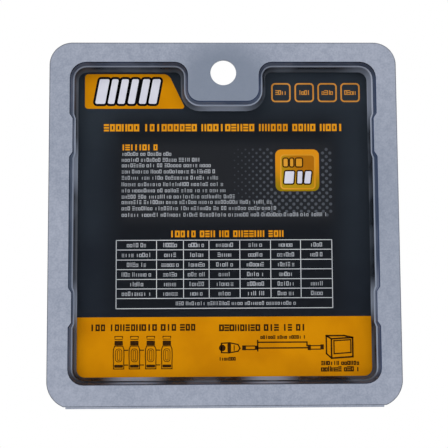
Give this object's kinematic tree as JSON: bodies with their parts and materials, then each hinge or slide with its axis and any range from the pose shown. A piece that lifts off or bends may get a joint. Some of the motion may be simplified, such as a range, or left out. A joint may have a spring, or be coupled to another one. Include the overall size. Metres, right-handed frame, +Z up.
{
  "type": "hinged clamshell retail pack",
  "caption": "Clear hinged clamshell retail pack with a windowed back, hang hole and printed card, holding a pair of video baluns in blisters.",
  "frame": {"origin": "centre of the hang hole, on the plane where the two flanges meet", "axes": "+Z up as the pack hangs, +X to the right seen from the window side, +Y out of the blister (display) side; the window side with the printed back of the card faces -Y"},
  "size_m": [0.11, 0.022, 0.1151],
  "materials": {
    "clear_sheet": "clear thermoformed sheet, finely grained at the flange, glossy at the window and blisters",
    "printed_card": "printed card, near-black with orange fields, coated",
    "housing": "satin moulded",
    "nickel": "bright nickel plate",
    "insulator": "white, smooth",
    "gold_contact": "gold flash",
    "gasket": "red silicone",
    "steel": "zinc plated",
    "terminal": "green moulded",
    "board": "green lacquered board",
    "ferrite": "dull ferrite",
    "copper": "enamelled copper wire",
    "chip": "moulded chip body"
  },
  "bodies": {
    "display_half": {"front_shell": "clear_sheet", "hinge_web": "clear_sheet", "printed_card": "printed_card", "left_housing_front": "housing", "left_housing_back": "housing", "left_bnc_body": "nickel", "left_bnc_insulator": "insulator", "left_centre_pin": "gold_contact", "left_gasket": "gasket", "left_spring_washer": "steel", "left_terminal_block": "terminal", "left_terminal_screws": "steel", "left_terminal_clamps": "steel", "left_circuit_board": "board", "left_choke_core": "ferrite", "left_choke_winding": "copper", "left_surge_suppressors": "chip", "right_housing_front": "housing", "right_housing_back": "housing", "right_bnc_body": "nickel", "right_bnc_insulator": "insulator", "right_centre_pin": "gold_contact", "right_gasket": "gasket", "right_spring_washer": "steel", "right_terminal_block": "terminal", "right_terminal_screws": "steel", "right_terminal_clamps": "steel", "right_circuit_board": "board", "right_choke_core": "ferrite", "right_choke_winding": "copper", "right_surge_suppressors": "chip"},
    "window_half": {"back_shell": "clear_sheet"},
    "left_coupling_ring_body": {"left_coupling_ring": "nickel"},
    "right_coupling_ring_body": {"right_coupling_ring": "nickel"}
  },
  "joints": [
    {"name": "clamshell_hinge", "type": "hinge", "parent": "display_half", "child": "window_half", "pos_m": [0, 0.00005, -0.10485], "axis": [1, 0, 0], "range_deg": [0, 180], "deforming": ["hinge_web"]},
    {"name": "left_ring_turn", "type": "hinge", "parent": "display_half", "child": "left_coupling_ring_body", "pos_m": [-0.024, 0.013, -0.036], "axis": [0, 0, 1], "continuous": true},
    {"name": "right_ring_turn", "type": "hinge", "parent": "display_half", "child": "right_coupling_ring_body", "pos_m": [0.024, 0.013, -0.036], "axis": [0, 0, 1], "continuous": true}
  ]
}
